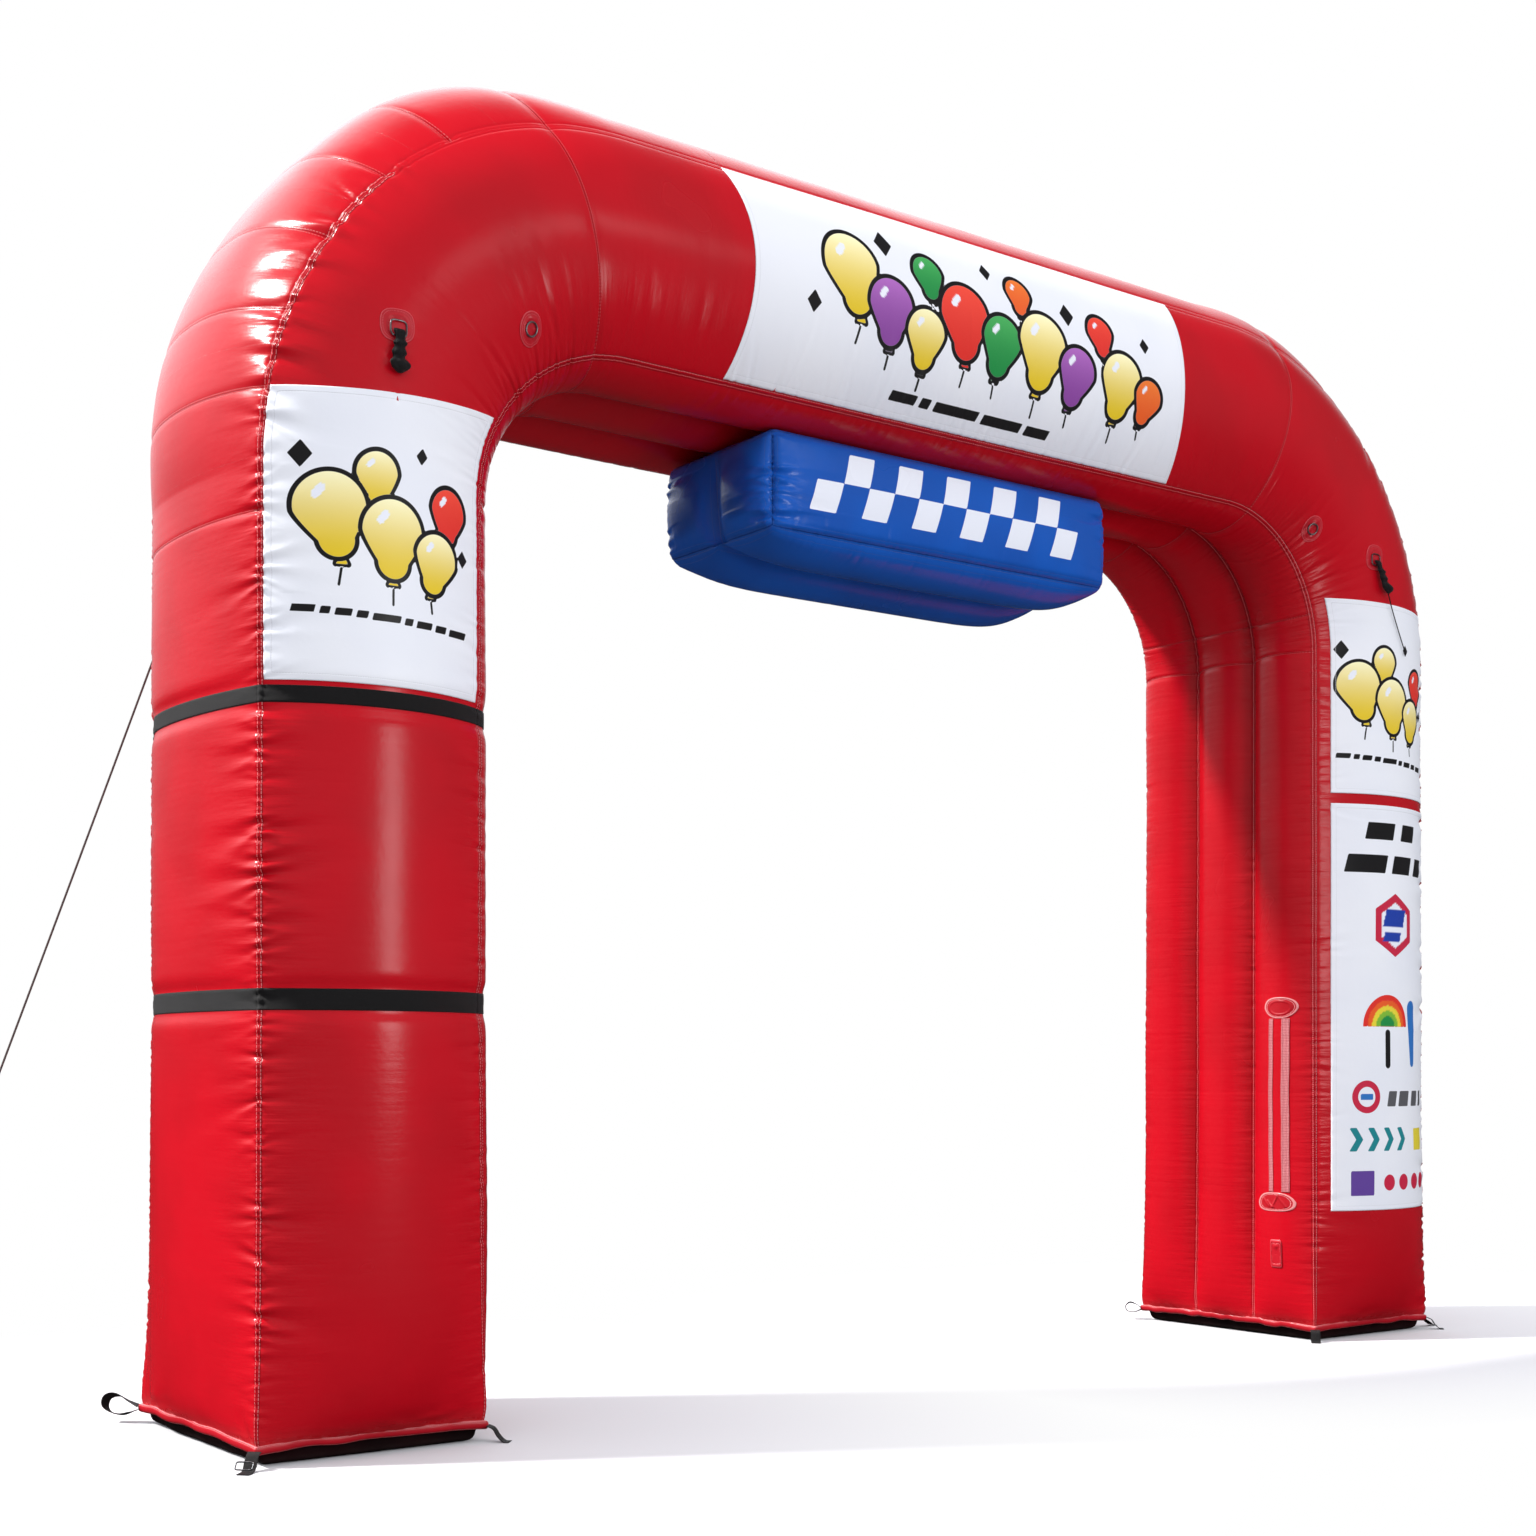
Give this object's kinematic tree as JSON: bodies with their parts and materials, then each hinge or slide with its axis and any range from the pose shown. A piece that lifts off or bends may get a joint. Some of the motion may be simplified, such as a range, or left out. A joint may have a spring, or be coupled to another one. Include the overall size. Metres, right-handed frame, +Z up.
{
  "type": "inflatable arch",
  "caption": "Inflatable gateway arch of red coated cloth, with printed front panels, webbing bands, a blue filled box under the beam, anchor webbing at the feet and a guy rope.",
  "frame": {"origin": "on the ground, half way between the legs", "axes": "+X along the arch, the front faces -Y, +Z up"},
  "size_m": [7.148, 1.8469, 4.8193],
  "materials": {
    "red_coated_cloth": "glossy coated cloth",
    "dark_base_cloth": "matt coated cloth",
    "white_print_cloth": "printed cloth with a slight sheen",
    "blue_coated_cloth": "glossy coated cloth",
    "black_webbing": "matt woven webbing",
    "steel_ring": "plated steel",
    "guy_rope": "braided rope",
    "pale_zip_tape": "shiny ribbed tape"
  },
  "bodies": {
    "root": {"air_tube": "red_coated_cloth", "beam_banner": "white_print_cloth", "guy_knot": "guy_rope", "guy_loop": "guy_rope", "guy_rope": "guy_rope", "guy_top_knot": "guy_rope", "hanging_box": "blue_coated_cloth", "left_base": "dark_base_cloth", "left_front_tab": "black_webbing", "left_front_tab_slider": "steel_ring", "left_inner_front_tab": "black_webbing", "left_inner_rear_tab": "black_webbing", "left_panel": "white_print_cloth", "left_rear_loop": "black_webbing", "left_ring_loop": "steel_ring", "left_ring_patch": "red_coated_cloth", "left_tie_patch": "red_coated_cloth", "left_tie_ring": "steel_ring", "left_tie_web": "black_webbing", "lower_band": "black_webbing", "rear_tie_patch": "red_coated_cloth", "rear_tie_ring": "steel_ring", "right_base": "dark_base_cloth", "right_front_tab": "black_webbing", "right_front_tail": "black_webbing", "right_inner_front_tab": "black_webbing", "right_inner_rear_loop": "black_webbing", "right_lower_panel": "white_print_cloth", "right_rear_tab": "black_webbing", "right_ring_loop": "steel_ring", "right_ring_patch": "red_coated_cloth", "right_tether": "black_webbing", "right_tether_knot": "black_webbing", "right_tie_patch": "red_coated_cloth", "right_tie_ring": "steel_ring", "right_tie_web": "black_webbing", "right_upper_panel": "white_print_cloth", "side_flap": "red_coated_cloth", "upper_band": "black_webbing", "zip_bottom_patch": "red_coated_cloth", "zip_left_tape": "pale_zip_tape", "zip_right_tape": "pale_zip_tape", "zip_top_patch": "red_coated_cloth"}
  },
  "joints": []
}
